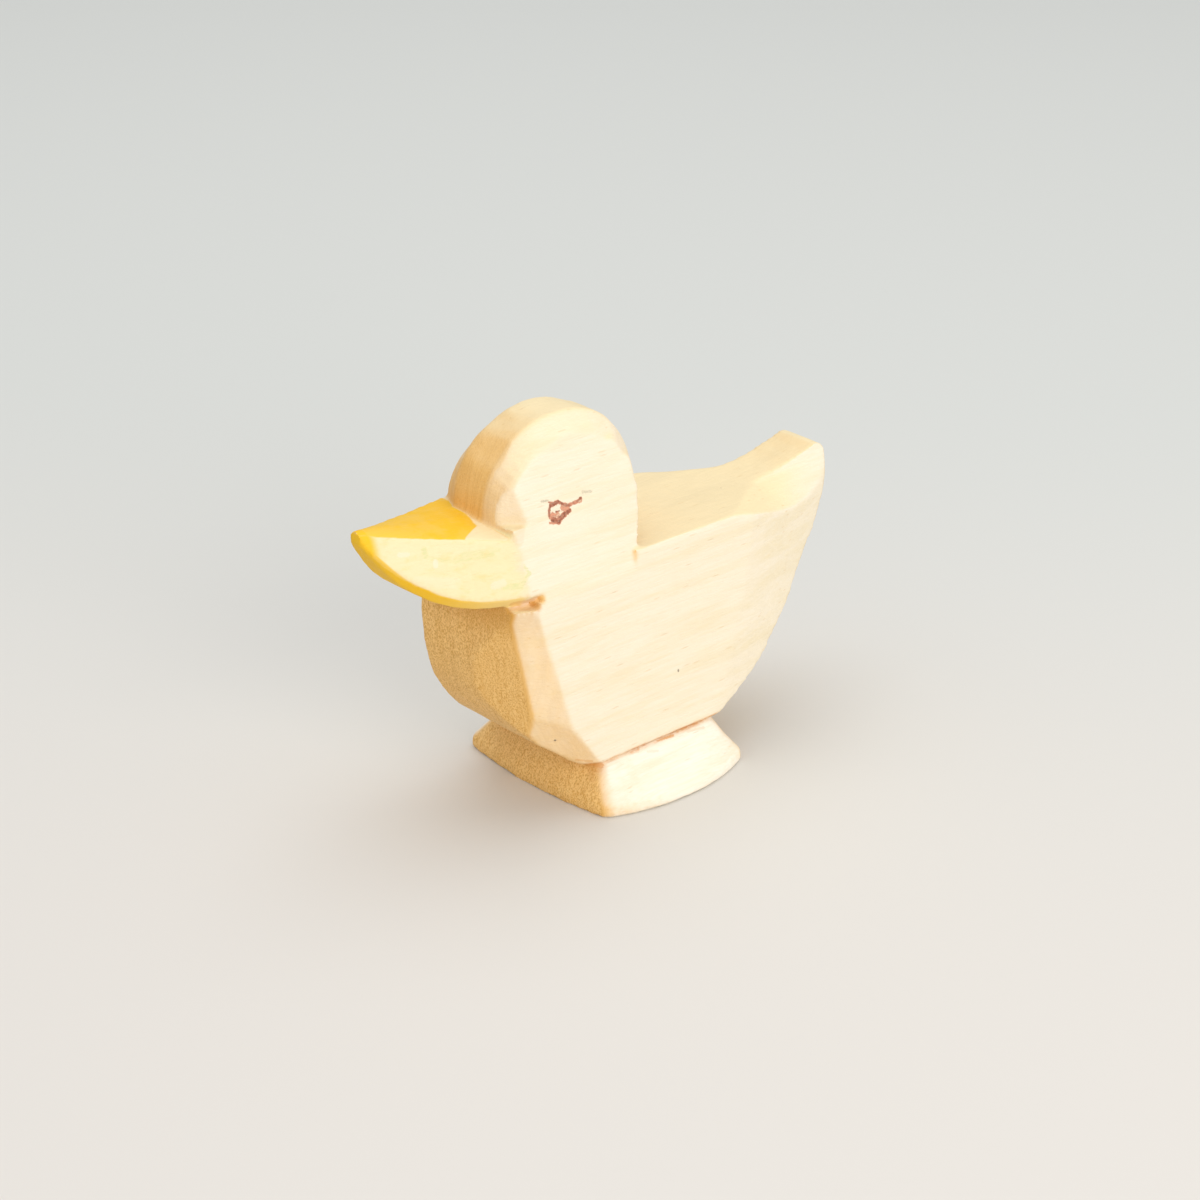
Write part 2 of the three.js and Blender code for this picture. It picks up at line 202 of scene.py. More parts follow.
# Rust in the throat's kerf, painted darker as well for the shade under the cheek's lower face
THROAT_RUST_AND_SHADE = (
    ((6.34, -17.4, 24.25), (6.96, -14.9, 24.3), 0.4, 0.45),
    ((6.12, -15.84, 23.6), (7.12, -15.3, 23.85), 0.12, 0.75),
    ((5.77, -16.67, 23.6), (6.15, -15.74, 23.6), 0.1, 0.6),
    ((5.9, -17.0, 23.55), (7.2, -15.4, 23.6), 0.55, 0.5),
)
BODY_SPECKS = (
    ((8.19, 2.25, 11.67), (8.19, 2.27, 11.6), 0.12, 0.8),
    ((6.81, -12.86, 8.53), (6.84, -12.81, 8.52), 0.09, 0.9),
    ((1.62, 14.3, 26.0), (1.62, 14.34, 26.0), 0.08, 0.6),
)
FOOT_RUST = (
    ((8.4, -0.84, 4.85), (8.4, 1.5, 4.7), 0.16, 1.0),
    ((8.4, 5.99, 4.85), (8.38, 7.53, 4.85), 0.12, 0.9),
    ((8.76, -2.32, 4.29), (8.99, -1.18, 4.11), 0.13, 0.22),
    ((8.48, 3.44, 4.49), (8.58, 5.61, 4.18), 0.14, 0.28),
    ((6.3, -8.5, 4.4), (7.9, -7.8, 4.4), 0.3, 0.8),
    ((6.9, -8.45, 4.1), (7.9, -8.1, 4.1), 0.4, 0.45),
    ((7.2, -8.6, 3.8), (7.7, -8.7, 3.2), 0.4, 0.25),
)
BEAK_BRUSH = (
    ((2.88, -25.06, 30.97), (3.11, -25.01, 30.3), 0.26, 0.6),
    ((3.19, -24.91, 30.15), (4.17, -22.54, 29.37), 0.18, 0.45),
    ((4.14, -22.52, 29.47), (5.31, -18.94, 29.47), 0.22, 0.5),
    ((4.26, -21.74, 29.87), (5.41, -18.31, 29.83), 0.22, 0.4),
    ((5.16, -21.14, 27.63), (5.75, -19.52, 27.41), 0.25, 0.35),
    ((4.74, -22.72, 27.37), (5.25, -21.94, 26.56), 0.22, 0.35),
)
CHEEK_BRUSH = (
    ((6.43, -18.44, 26.35), (6.91, -16.98, 26.22), 0.28, 0.6),
    ((6.91, -16.98, 26.22), (6.91, -15.89, 27.16), 0.2, 0.6),
    ((6.91, -15.89, 27.16), (6.66, -16.29, 27.95), 0.14, 0.6),
)
MISSED_SPOTS = (
    ((2.25, -27.37, 30.86), (2.49, -26.64, 30.75), 0.22, 0.8),
    ((3.53, -24.26, 29.7), (3.63, -24.32, 29.32), 0.22, 1.0),
    ((6.02, -19.42, 26.65), (6.27, -18.56, 26.78), 0.35, 0.8),
    ((3.41, -26.27, 28.28), (4.68, -22.84, 27.46), 0.5, 0.35),
)


class DucklingCarving(bpy.types.PropertyGroup):
    """How finely the blank is pared and softened."""

    grid: bpy.props.FloatProperty(
        name="Grid", description="Edge of the grid on which the cuts are softened",
        default=0.23 * MM, min=0.1 * MM, unit="LENGTH", precision=5,
    )
    softening: bpy.props.IntProperty(
        name="Softening", description="Passes of smoothing that round the knife's edges",
        default=5, min=0, max=30,
    )
    hollow_depth: bpy.props.FloatProperty(
        name="Hollow depth", description="Depth of the shallow hollows that paring leaves",
        default=0.22 * MM, min=0, unit="LENGTH", precision=5,
    )
    hollow_width: bpy.props.FloatProperty(
        name="Hollow width", description="Width of the shallow hollows that paring leaves",
        default=4.5 * MM, min=0.5 * MM, unit="LENGTH", precision=5,
    )
    chatter_depth: bpy.props.FloatProperty(
        name="Chatter depth", description="Depth of the fine ripple left by the blade",
        default=0.05 * MM, min=0, unit="LENGTH", precision=5,
    )
    chatter_width: bpy.props.FloatProperty(
        name="Chatter width", description="Width of the fine ripple left by the blade",
        default=1.1 * MM, min=0.2 * MM, unit="LENGTH", precision=5,
    )


class DucklingFinish(bpy.types.PropertyGroup):
    """The colours of the wood, the stain and the paint."""

    bare: bpy.props.FloatVectorProperty(
        name="Bare wood", description="The board's face, between its darker streaks",
        subtype="COLOR", size=4, min=0, max=1, default=(0.85, 0.76, 0.6, 1),
    )
    streak: bpy.props.FloatVectorProperty(
        name="Streaks", description="The board's darker streaks and fibres",
        subtype="COLOR", size=4, min=0, max=1, default=(0.77, 0.64, 0.38, 1),
    )
    edge_grain: bpy.props.FloatVectorProperty(
        name="Edge grain", description="The board's sawn edges, on crown, back and tail",
        subtype="COLOR", size=4, min=0, max=1, default=(0.87, 0.71, 0.42, 1),
    )
    # Painted light: the foot's sides are painted paler than the bare wood, standing in for the
    # brighter light on their upturned faces
    painted_lit_foot_face: bpy.props.FloatVectorProperty(
        name="Foot's sides", description="The foot block's sides, freshly cut and palest",
        subtype="COLOR", size=4, min=0, max=1, default=(0.93, 0.86, 0.74, 1),
    )
    end_grain: bpy.props.FloatVectorProperty(
        name="End grain", description="Cut ends of the fibres, on the chest and the foot's front",
        subtype="COLOR", size=4, min=0, max=1, default=(0.94, 0.59, 0.21, 1),
    )
    stain: bpy.props.FloatVectorProperty(
        name="Beak stain", description="The yellow stain where it lies thickest",
        subtype="COLOR", size=4, min=0, max=1, default=(0.86, 0.5, 0.004, 1),
    )
    thin_stain: bpy.props.FloatVectorProperty(
        name="Thin stain", description="The yellow stain where the brush left little",
        subtype="COLOR", size=4, min=0, max=1, default=(0.82, 0.71, 0.4, 1),
    )
    # This rusty brown also paints the shade on the foot's front under the belly
    toning_and_painted_shade: bpy.props.FloatVectorProperty(
        name="Toning", description="The rusty brown that gathered in the cuts",
        subtype="COLOR", size=4, min=0, max=1, default=(0.66, 0.28, 0.055, 1),
    )
    eye: bpy.props.FloatVectorProperty(
        name="Eye", description="The reddish brown of the painted eyes",
        subtype="COLOR", size=4, min=0, max=1, default=(0.27, 0.075, 0.035, 1),
    )
    thin_eye: bpy.props.FloatVectorProperty(
        name="Thin eye paint", description="The pink that the eye's paint gives where it is thin",
        subtype="COLOR", size=4, min=0, max=1, default=(0.74, 0.33, 0.2, 1),
    )
    brush: bpy.props.FloatVectorProperty(
        name="Brush marks", description="The greenish marks of the brush on the beak's sides",
        subtype="COLOR", size=4, min=0, max=1, default=(0.64, 0.65, 0.3, 1),
    )
    speck: bpy.props.FloatVectorProperty(
        name="Specks", description="The dark grey-brown of the few specks in the wood",
        subtype="COLOR", size=4, min=0, max=1, default=(0.14, 0.1, 0.07, 1),
    )
    pencil: bpy.props.FloatVectorProperty(
        name="Pencil", description="The faint guide lines beside the eyes",
        subtype="COLOR", size=4, min=0, max=1, default=(0.42, 0.38, 0.28, 1),
    )


class DucklingStage(bpy.types.PropertyGroup):
    """The floor, the light and the camera."""

    floor: bpy.props.FloatVectorProperty(
        name="Floor", description="Colour of the plain floor",
        subtype="COLOR", size=4, min=0, max=1, default=(0.64, 0.645, 0.61, 1),
    )
    # Painted light: the floor on the camera's side is painted lighter and warmer, where more light
    # falls
    near_floor_painted_light: bpy.props.FloatVectorProperty(
        name="Near floor", description="Colour of the floor on the camera's side, a little warmer",
        subtype="COLOR", size=4, min=0, max=1, default=(0.705, 0.67, 0.622, 1),
    )
    azimuth: bpy.props.FloatProperty(
        name="Azimuth", description="Camera's turn round the duckling, from straight ahead of it",
        default=math.radians(48), subtype="ANGLE",
    )
    elevation: bpy.props.FloatProperty(
        name="Elevation", description="Camera's height above the horizon",
        default=math.radians(24.5), subtype="ANGLE",
    )
    place: bpy.props.FloatVectorProperty(
        name="Camera place", description="Where the camera stands",
        subtype="TRANSLATION", size=3, default=(0.16941, -0.15337, 0.12140),
    )
    lens: bpy.props.FloatProperty(
        name="Lens", description="Focal length on a 36 mm frame", default=75, min=10,
    )
    key: bpy.props.FloatProperty(
        name="Key light", description="Power of the broad light on the left flank",
        default=2.0, min=0, unit="POWER",
    )
    surround: bpy.props.FloatProperty(
        name="Surround", description="Strength of the pale surround", default=0.7, min=0,
    )


# Making and shaping pieces


def only(*pieces):
    """Selects these pieces and nothing else."""
    bpy.ops.object.select_all(action="DESELECT")
    for piece in pieces:
        piece.select_set(True)
    bpy.context.view_layer.objects.active = pieces[0]


def finish_modifier(piece, kind, **settings):
    """Adds a modifier with these settings and applies it."""
    only(piece)
    bpy.ops.object.modifier_add(type=kind)
    modifier = piece.modifiers[-1]
    for name, value in settings.items():
        setattr(modifier, name, value)
    bpy.ops.object.modifier_apply(modifier=modifier.name)


def blank(name, node):
    """One closed mesh that starts as a copy of a node of the frame."""
    only(frame["nodes"][node])
    bpy.ops.object.duplicate()
    bpy.ops.object.parent_clear(type="CLEAR_KEEP_TRANSFORM")
    bpy.ops.object.transform_apply()
    piece = bpy.context.object
    piece.name = piece.data.name = name
    piece.data.materials.clear()
    bpy.ops.object.mode_set(mode="EDIT")
    bpy.ops.mesh.select_all(action="SELECT")
    bpy.ops.mesh.remove_doubles(threshold=WELD)
    bpy.ops.object.mode_set(mode="OBJECT")
    return piece


def combine(piece, operation, other):
    """Joins another closed piece to a piece, or cuts it from it, and takes the other away."""
    finish_modifier(piece, "BOOLEAN", operation=operation, object=other, solver="MANIFOLD")
    only(other)
    bpy.ops.object.delete()


def pare(piece, place, facing, length, breadth):
    """Takes off what stands proud of a flat knife cut through a place, within its size."""
    facing = Vector(facing).normalized()
    depth = 2 * MM
    bpy.ops.object.select_all(action="DESELECT")
    bpy.ops.mesh.primitive_cube_add(
        size=1,
        location=Vector(place) + facing * depth / 2,
        rotation=facing.to_track_quat("Z", "X").to_euler(),
        scale=(breadth, length, depth),
    )
    combine(piece, "DIFFERENCE", bpy.context.object)


def soften(piece, carving, seed):
    """Rounds the knife's edges a little and leaves its hollows and ripple on the faces."""
    finish_modifier(piece, "REMESH", mode="VOXEL", voxel_size=carving.grid, use_smooth_shade=True)
    finish_modifier(piece, "SMOOTH", factor=0.5, iterations=carving.softening)
    marks = (
        ("hollows", carving.hollow_width, carving.hollow_depth),
        ("chatter", carving.chatter_width, carving.chatter_depth),
    )
    for label, width, depth in marks:
        texture = bpy.data.textures.new(f"{piece.name}_{label}", "CLOUDS")
        texture.noise_scale = width
        texture.noise_depth = 1
        texture.noise_basis = seed
        finish_modifier(
            piece, "DISPLACE", texture=texture, texture_coords="LOCAL",
            strength=depth, mid_level=0.5,
        )


def part_at(piece, operation, low, high):
    """Keeps of a piece only what lies within a box, or only what lies outside it."""
    size = Vector(high) - Vector(low)
    bpy.ops.object.select_all(action="DESELECT")
    bpy.ops.mesh.primitive_cube_add(size=1, location=Vector(low) + size / 2, scale=size)
    combine(piece, operation, bpy.context.object)
    only(piece)
    bpy.ops.object.mode_set(mode="EDIT")
    bpy.ops.mesh.select_all(action="SELECT")
    bpy.ops.mesh.remove_doubles(threshold=WELD)
    bpy.ops.object.mode_set(mode="OBJECT")
    bpy.ops.object.shade_smooth_by_angle(angle=SHARP_EDGE)


def from_stroke(place, start, end):
    """How far a place on a cheek lies from a straight stroke."""
    share = intersect_point_line(place, start, end)[1]
    return (place - start.lerp(end, min(max(share, 0), 1))).length


def trim_to_strokes(film, marks):
    """Takes away the parts of a film of paint that none of the brush's strokes reaches."""
    only(film)
    bpy.ops.object.mode_set(mode="EDIT")
    bpy.ops.mesh.select_mode(type="FACE")
    bpy.ops.mesh.select_all(action="DESELECT")
    bpy.ops.object.mode_set(mode="OBJECT")
    for face in film.data.polygons:
        place = Vector(face.center[1:]) / MM
        face.select = all(
            from_stroke(place, Vector(start), Vector(end)) > STROKE_REACH * width + EYE_SHAKE / 2
            for start, end, width, _ in marks
        )
    bpy.ops.object.mode_set(mode="EDIT")
    bpy.ops.mesh.delete(type="FACE")
    bpy.ops.object.mode_set(mode="OBJECT")


def dress(piece, material, slot, *nodes):
    """Gives a piece its material, fixes it to the root body and hides the nodes of the frame that
    it stands for.
    """
    piece.data.materials.clear()
    piece.data.materials.append(material)
    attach(piece, "root")
    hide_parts(*nodes)


def head_radius(angle):
    """Radius of the head's round at an angle from straight behind, up over the crown."""
    return HEAD_RADIUS + HEAD_OVAL * (1 + math.cos(2 * angle))


def pare_head(piece):
    """Flat cuts round the crown's strip, and slanting ones from it down to each cheek."""
    hand = random.Random(5)
    for step in range(CROWN_CUTS):
        angle = math.radians(FIRST_CUT + CROWN_TURN * step + hand.uniform(-2.5, 2.5))
        radius = head_radius(angle) - hand.uniform(*CUT_DEPTHS) * MM
        facing = Vector((hand.uniform(-0.05, 0.05), math.cos(angle), math.sin(angle)))
        middle = Vector((0, HEAD_Y, HEAD_Z)) + facing * radius
        pare(piece, middle, facing, *CROWN_CUT_SIZE)
    for side, steps in RIM_CUTS:
        for step in range(steps):
            angle = math.radians(FIRST_CUT + RIM_TURN * step + hand.uniform(-3, 3))
            outer = head_radius(angle)
            rim = CHEEK_AT_HEAD - CHEEK_SLOPE * (outer - RIM_INSET) * math.sin(angle)
            radius = outer - RIM_INSET / 2 - hand.uniform(*CUT_DEPTHS) * MM
            lean = math.atan2(RIM_INSET, rim - CROWN_HALF)
            facing = Vector((
                side * math.sin(lean),
                math.cos(lean) * math.cos(angle),
                math.cos(lean) * math.sin(angle),
            ))
            middle = Vector((
                side * (CROWN_HALF + rim) / 2,
                HEAD_Y + radius * math.cos(angle),
                HEAD_Z + radius * math.sin(angle),
            ))
            pare(piece, middle, facing, *RIM_CUT_SIZE)
    place, facing = BROW_CUT
    pare(piece, Vector(place) * MM, facing, *BROW_CUT_SIZE)


def pare_chest(piece):
    """Broad level cuts down the front of the chest and round the underside of the stern."""
    for place, facing, length, breadth in TORSO_CUTS:
        pare(piece, Vector(place) * MM, facing, length * MM, breadth * MM)


# Materials


class Graph:
    """A node tree that grows from left to right, one node at a time."""

    def __init__(self, tree):
        self.tree = tree

    def fill(self, node, inputs):
        """Fills a node's inputs with values, or links them to sockets."""
        for name, value in dict(inputs).items():
            if isinstance(value, bpy.types.NodeSocket):
                self.tree.links.new(value, node.inputs[name])
            else:
                node.inputs[name].default_value = value

    def add(self, kind, inputs=(), output=0, **settings):
        """Adds a node, fills or links its inputs and returns one of its outputs."""
        node = self.tree.nodes.new(kind)
        for name, value in settings.items():
            setattr(node, name, value)
        self.fill(node, inputs)
        return node.outputs[output]

    def maths(self, operation, *values, clamp=False):
        """A Math node."""
        return self.add("ShaderNodeMath", enumerate(values), operation=operation, use_clamp=clamp)

    def vector(self, operation, *values, output=0):
        """A Vector Math node."""
        return self.add("ShaderNodeVectorMath", enumerate(values), output, operation=operation)

    def ramp(self, value, start, end, low=0.0, high=1.0):
        """A smooth step of a value, from low at the start to high at the end."""
        inputs = {"Value": value, "From Min": start, "From Max": end, "To Min": low, "To Max": high}
        return self.add("ShaderNodeMapRange", inputs, interpolation_type="SMOOTHSTEP")

    def mix(self, share, first, second, mode="MIX"):
        """A mix of two colours."""
        return self.add(
            "ShaderNodeMix", {0: share, 6: first, 7: second}, 2, data_type="RGBA", blend_type=mode,
        )

    def noise(self, vector, scale=1.0, detail=2.0, roughness=0.5):
        """A noise texture's value, from 0 to 1."""
        inputs = {"Vector": vector, "Scale": scale, "Detail": detail, "Roughness": roughness}
        return self.add("ShaderNodeTexNoise", inputs)

    def millimetres(self, scale=(1, 1, 1)):
        """The point on the piece, in millimetres, stretched by a scale."""
        point = self.add("ShaderNodeTexCoord", output="Object")
        return self.vector("MULTIPLY", point, [k / MM for k in scale])

    def use(self, group, inputs=()):
        """Places a node group and returns its outputs by name."""
        node = self.tree.nodes.new("ShaderNodeGroup")
        node.node_tree = bpy.data.node_groups[group]
        self.fill(node, inputs)
        return node.outputs


def new_group(name, inputs, outputs):
    """An empty node group with named inputs and outputs."""
    tree = bpy.data.node_groups.new(name, "ShaderNodeTree")
    for label, default in inputs:
        kind = "NodeSocketVector" if isinstance(default, tuple) else "NodeSocketFloat"
        tree.interface.new_socket(label, in_out="INPUT", socket_type=kind).default_value = default
    for label in outputs:
        tree.interface.new_socket(label, in_out="OUTPUT", socket_type="NodeSocketFloat")
    graph = Graph(tree)
    return graph, tree.nodes.new("NodeGroupInput").outputs, tree.nodes.new("NodeGroupOutput").inputs


def make_board_grain():
    """Growth rings across the board, fibres and pores along it, and where their ends show. On the
    head, the end grain of faces turned to the key light is held back, as painted light.
    """
    graph, given, out = new_group(
        "Board Grain", (("Ring Spacing", 0.3), ("Fibre Width", 0.22), ("Fibre Length", 3.5)),
        ("Rings", "Fibres", "Streaks", "Pores", "Speckle", "End Grain Less Painted Light", "Edge Grain"),
    )
    point = graph.millimetres()
    parts = graph.add("ShaderNodeSeparateXYZ", {0: point}).node.outputs
    drift = graph.maths("MULTIPLY", graph.noise(graph.millimetres((0.12, 0.03, 0.08))), 5)
    across = graph.maths("ADD", parts["X"], drift)
    ring_point = graph.add("ShaderNodeCombineXYZ", {
        "X": graph.maths("DIVIDE", across, given["Ring Spacing"]),
        "Y": graph.maths("MULTIPLY", parts["Y"], 0.02),
        "Z": graph.maths("MULTIPLY", parts["Z"], 0.07),
    })
    rings = graph.noise(ring_point, detail=2, roughness=0.6)
    fibre_point = graph.add("ShaderNodeCombineXYZ", {
        "X": graph.maths("DIVIDE", parts["X"], given["Fibre Width"]),
        "Y": graph.maths("DIVIDE", parts["Y"], given["Fibre Length"]),
        "Z": graph.maths("DIVIDE", parts["Z"], given["Fibre Width"]),
    })
    fibres = graph.noise(fibre_point, detail=3, roughness=0.65)
    streaks = graph.noise(graph.millimetres((0.35, 0.07, 0.75)), detail=3, roughness=0.55)
    pores = graph.add(
        "ShaderNodeTexVoronoi", {"Vector": graph.millimetres((1.6, 0.22, 1.6)), "Scale": 1.0},
    )
    speckle = graph.noise(graph.millimetres((8, 1.4, 5.5)), detail=2, roughness=0.6)
    normal = graph.add("ShaderNodeTexCoord", output="Normal")
    facing = graph.add("ShaderNodeSeparateXYZ", {0: normal}).node.outputs
    ahead = graph.ramp(facing["Y"], -0.02, -0.92)
    astern = graph.ramp(facing["Y"], 0.3, 1.05)
    upright = graph.maths("ABSOLUTE", facing["Z"])
    graph.tree.links.new(graph.ramp(rings, 0.32, 0.68), out["Rings"])
    graph.tree.links.new(graph.ramp(fibres, 0.3, 0.7), out["Fibres"])
    graph.tree.links.new(graph.ramp(streaks, 0.42, 0.7), out["Streaks"])
    graph.tree.links.new(graph.ramp(pores, 0.16, 0.05), out["Pores"])
    aside = graph.ramp(graph.maths("ABSOLUTE", facing["X"]), 0.2, 0.5)
    plain = graph.maths("MAXIMUM", aside, graph.ramp(parts["Z"], *SPECKLE_ENDS, 0.0, 0.8))
    rough = graph.ramp(speckle, 0.44, 0.62)
    rough = graph.maths("MULTIPLY", rough, graph.maths("SUBTRACT", 1.0, plain))
    even = graph.maths("MULTIPLY", plain, 0.4)
    graph.tree.links.new(graph.maths("ADD", rough, even), out["Speckle"])
    # Painted light: on the head, faces turned to the key light at +X, and the +X side of the crown,
    # lose the end grain's tan and show paler
    beside = graph.ramp(parts["X"], 1.6, 2.4, 0.0, 0.5)
    turned_to_key_light = graph.maths("MAXIMUM", graph.ramp(facing["X"], 0.05, 0.5), beside)
    painted_key_light = graph.maths("MULTIPLY", turned_to_key_light, graph.ramp(parts["Z"], *HEAD_PAINTED_LIGHT, 0.0, 0.62))
    ends = graph.maths("ADD", ahead, astern)
    ends = graph.maths("MULTIPLY", ends, graph.maths("SUBTRACT", 1.0, painted_key_light))
    graph.tree.links.new(ends, out["End Grain Less Painted Light"])
    graph.tree.links.new(graph.ramp(upright, 0.4, 0.95), out["Edge Grain"])


def make_yellow_stain():
    """Where the beak's stain lies, how thickly, and its feathered edge on the cheeks. Faces turned
    down take it thickest, which also paints the shade under the beak.
    """
    graph, given, out = new_group(
        "Yellow Stain", (("Edge", -16.6), ("Feather", 1.2)), ("Cover", "Depth"),
    )
    point = graph.add("ShaderNodeSeparateXYZ", {0: graph.millimetres()}).node.outputs
    ragged = graph.noise(graph.millimetres((0.7, 0.35, 0.8)), detail=3, roughness=0.6)
    wander = graph.maths("SUBTRACT", ragged, 0.5)
    edge = graph.maths("ADD", given["Edge"], graph.maths("MULTIPLY", wander, 3))
    past = graph.maths("SUBTRACT", edge, point["Y"])
    along = graph.ramp(graph.maths("DIVIDE", past, given["Feather"]), -0.5, 0.5)
    along = graph.maths("MULTIPLY", along, graph.ramp(point["Z"], THROAT / MM, THROAT / MM + 0.1))
    roof = graph.maths("SUBTRACT", BEAK_TOP / MM, graph.maths(
        "MULTIPLY", graph.maths("SUBTRACT", point["Y"], BEAK_TIP / MM), BEAK_SLOPE,
    ))
    deep = graph.maths("SUBTRACT", roof, point["Z"])
    normal = graph.add("ShaderNodeTexCoord", output="Normal")
    level = graph.add("ShaderNodeSeparateXYZ", {0: normal}).node.outputs["Z"]
    top = graph.ramp(level, 0.66, 0.84)
    slanted = graph.maths("ADD", point["Y"], graph.maths("MULTIPLY", point["X"], STAIN_SLANT))
    beside = graph.maths("MAXIMUM", graph.maths("SUBTRACT", point["X"], CROWN_HALF / MM), 0)
    root = graph.maths("ADD", slanted, graph.maths("MULTIPLY", beside, STAIN_CORNER))
    root = graph.maths("ADD", root, graph.maths("MULTIPLY", wander, 0.5))
    on_top = graph.ramp(root, STAIN_EDGE / MM + 0.1, STAIN_EDGE / MM - 0.2)
    on_top = graph.maths("MULTIPLY", on_top, graph.ramp(deep, 2.0, 1.5))
    cover = graph.mix(
        top,
        graph.maths("MULTIPLY", along, graph.ramp(deep, 0.05, 0.4)),
        graph.maths("MULTIPLY", on_top, graph.ramp(deep, -0.9, -0.5)),
    )
    # Faces turned down take the thickest, deepest orange stain, which also paints the shade under
    # the beak
    under = graph.ramp(level, -0.02, -0.45)
    share = graph.maths("DIVIDE", graph.maths("SUBTRACT", HEAD_FRONT / MM, point["Y"]), (
        HEAD_FRONT - BEAK_TIP
    ) / MM)
    rise = graph.maths("MULTIPLY", graph.maths("POWER", share, 3, clamp=True), LIP_RISE / MM)
    above = graph.maths("SUBTRACT", graph.maths("SUBTRACT", point["Z"], BEAK_LOW / MM), rise)
    lip = graph.maths("MAXIMUM", under, graph.ramp(above, *LIP_BAND, 0.0, 0.85))
    lip = graph.maths("MULTIPLY", lip, graph.ramp(share, 0.0, 0.7, 0.5, 1.0))
    tip = graph.ramp(point["Y"], BEAK_TIP / MM + 1.9, BEAK_TIP / MM + 0.7)
    patchy = graph.noise(graph.millimetres((0.6, 0.5, 1.1)), detail=3, roughness=0.65)
    worn = graph.maths("MULTIPLY", top, graph.ramp(
        graph.maths("ADD", patchy, graph.maths("MULTIPLY", past, 0.02)), 0.74, 0.48, 0.91, 1.0,
    ))
    thick = graph.maths("MAXIMUM", worn, graph.maths("MAXIMUM", lip, tip))
    brushed = graph.ramp(patchy, 0.46, 0.78, 0.0, 0.3)
    graph.tree.links.new(cover, out["Cover"])
    graph.tree.links.new(graph.maths("MAXIMUM", thick, brushed), out["Depth"])


def make_rust_toning():
    """Rusty brown along the seam, painted shade in the same brown on the top of the foot's front
    under the belly, and grime with painted shade where the throat is darker.
    """
    graph, given, out = new_group("Rust Toning And Painted Shade", (("Seam Width", 0.28),), ("Cover", "Throat"))
    point = graph.add("ShaderNodeSeparateXYZ", {0: graph.millimetres()}).node.outputs
    broken = graph.noise(graph.millimetres((0.5, 0.5, 1.6)), detail=3, roughness=0.65)
    off = graph.maths("ABSOLUTE", graph.maths("SUBTRACT", point["Z"], SEAM / MM))
    line = graph.ramp(graph.maths("DIVIDE", off, given["Seam Width"]), 1.6, 0.3)
    line = graph.maths("MULTIPLY", line, graph.ramp(broken, 0.42, 0.62, 0.3, 0.95))
    normal = graph.add("ShaderNodeTexCoord", output="Normal")
    facing = graph.add("ShaderNodeSeparateXYZ", {0: normal}).node.outputs
    ahead = graph.ramp(facing["Y"], -0.2, -0.6)
    # Painted shade: the top of the foot's front, under the overhanging belly, is darkened in the
    # rust's brown
    painted_shade_under_belly = graph.maths("MULTIPLY", graph.ramp(point["Z"], *FOOT_FRONT_PAINTED_SHADE), graph.ramp(
        graph.maths("ABSOLUTE", point["X"]), 2.0, 7.5, 0.1, 0.5,
    ))
    painted_shade_under_belly = graph.maths("MULTIPLY", painted_shade_under_belly, ahead)
    painted_shade_under_belly = graph.maths("MULTIPLY", painted_shade_under_belly, graph.maths("LESS_THAN", point["Z"], SEAM / MM + 0.1))
    # Grime and painted shade: the chest darkens towards the beak, just under it
    throat = graph.maths("MULTIPLY", graph.ramp(point["Z"], *THROAT_GRIME_AND_SHADE), graph.maths(
        "LESS_THAN", point["Z"], BEAK_LOW / MM,
    ))
    graph.tree.links.new(graph.maths("MAXIMUM", line, painted_shade_under_belly), out["Cover"])
    graph.tree.links.new(throat, out["Throat"])


def make_brush_stroke():
    """How strongly one straight stroke of a small brush covers a point."""
    graph, given, out = new_group(
        "Brush Stroke",
        (
            ("Point", (0, 0, 0)), ("From", (0, 0, 0)), ("To", (0, 0, 0)),
            ("Width", 0.2), ("Strength", 1.0),
        ),
        ("Cover",),
    )
    reach = graph.vector("SUBTRACT", given["To"], given["From"])
    away = graph.vector("SUBTRACT", given["Point"], given["From"])
    length = graph.vector("DOT_PRODUCT", reach, reach, output=1)
    along = graph.vector("DOT_PRODUCT", away, reach, output=1)
    share = graph.maths("DIVIDE", along, length, clamp=True)
    nearest = graph.add("ShaderNodeVectorMath", {0: reach, "Scale": share}, operation="SCALE")
    distance = graph.vector("DISTANCE", away, nearest, output=1)
    edge = graph.ramp(graph.maths("DIVIDE", distance, given["Width"]), STROKE_REACH, 0.75)
    graph.tree.links.new(graph.maths("MULTIPLY", edge, given["Strength"]), out["Cover"])


def strokes(graph, point, marks):
    """How strongly any of these strokes covers a point."""
    cover = 0.0
    for start, end, width, strength in marks:
        mark = graph.use("Brush Stroke", {
            "Point": point, "From": start, "To": end, "Width": width, "Strength": strength,
        })["Cover"]
        cover = graph.maths("MAXIMUM", cover, mark)
    return cover


def shaken(graph, amount):
    """The point on the piece, in millimetres, moved about a little as by an unsteady hand."""
    inputs = {"Vector": graph.millimetres((2, 2, 2)), "Detail": 3.0}
    shake = graph.add("ShaderNodeTexNoise", inputs, "Color")
    shake = graph.vector("SUBTRACT", shake, (0.5, 0.5, 0.5))
    return graph.vector("ADD", graph.millimetres(), graph.vector("MULTIPLY", shake, (amount,) * 3))


def surface(name, colour, roughness, normal=None, alpha=None):
    """A material whose shader takes a colour, a roughness and perhaps a normal and an alpha."""
    material = bpy.data.materials[name]
    shader = material.node_tree.nodes["Principled BSDF"]
    links = material.node_tree.links
    links.new(colour, shader.inputs["Base Color"])
    links.new(roughness, shader.inputs["Roughness"])
    if normal:
        links.new(normal, shader.inputs["Normal"])
    if alpha:
        links.new(alpha, shader.inputs["Alpha"])
    return material


def start_material(name):
    """A new material and the graph that its nodes grow on."""
    material = bpy.data.materials.new(name)
    material.use_nodes = True
    return Graph(material.node_tree)


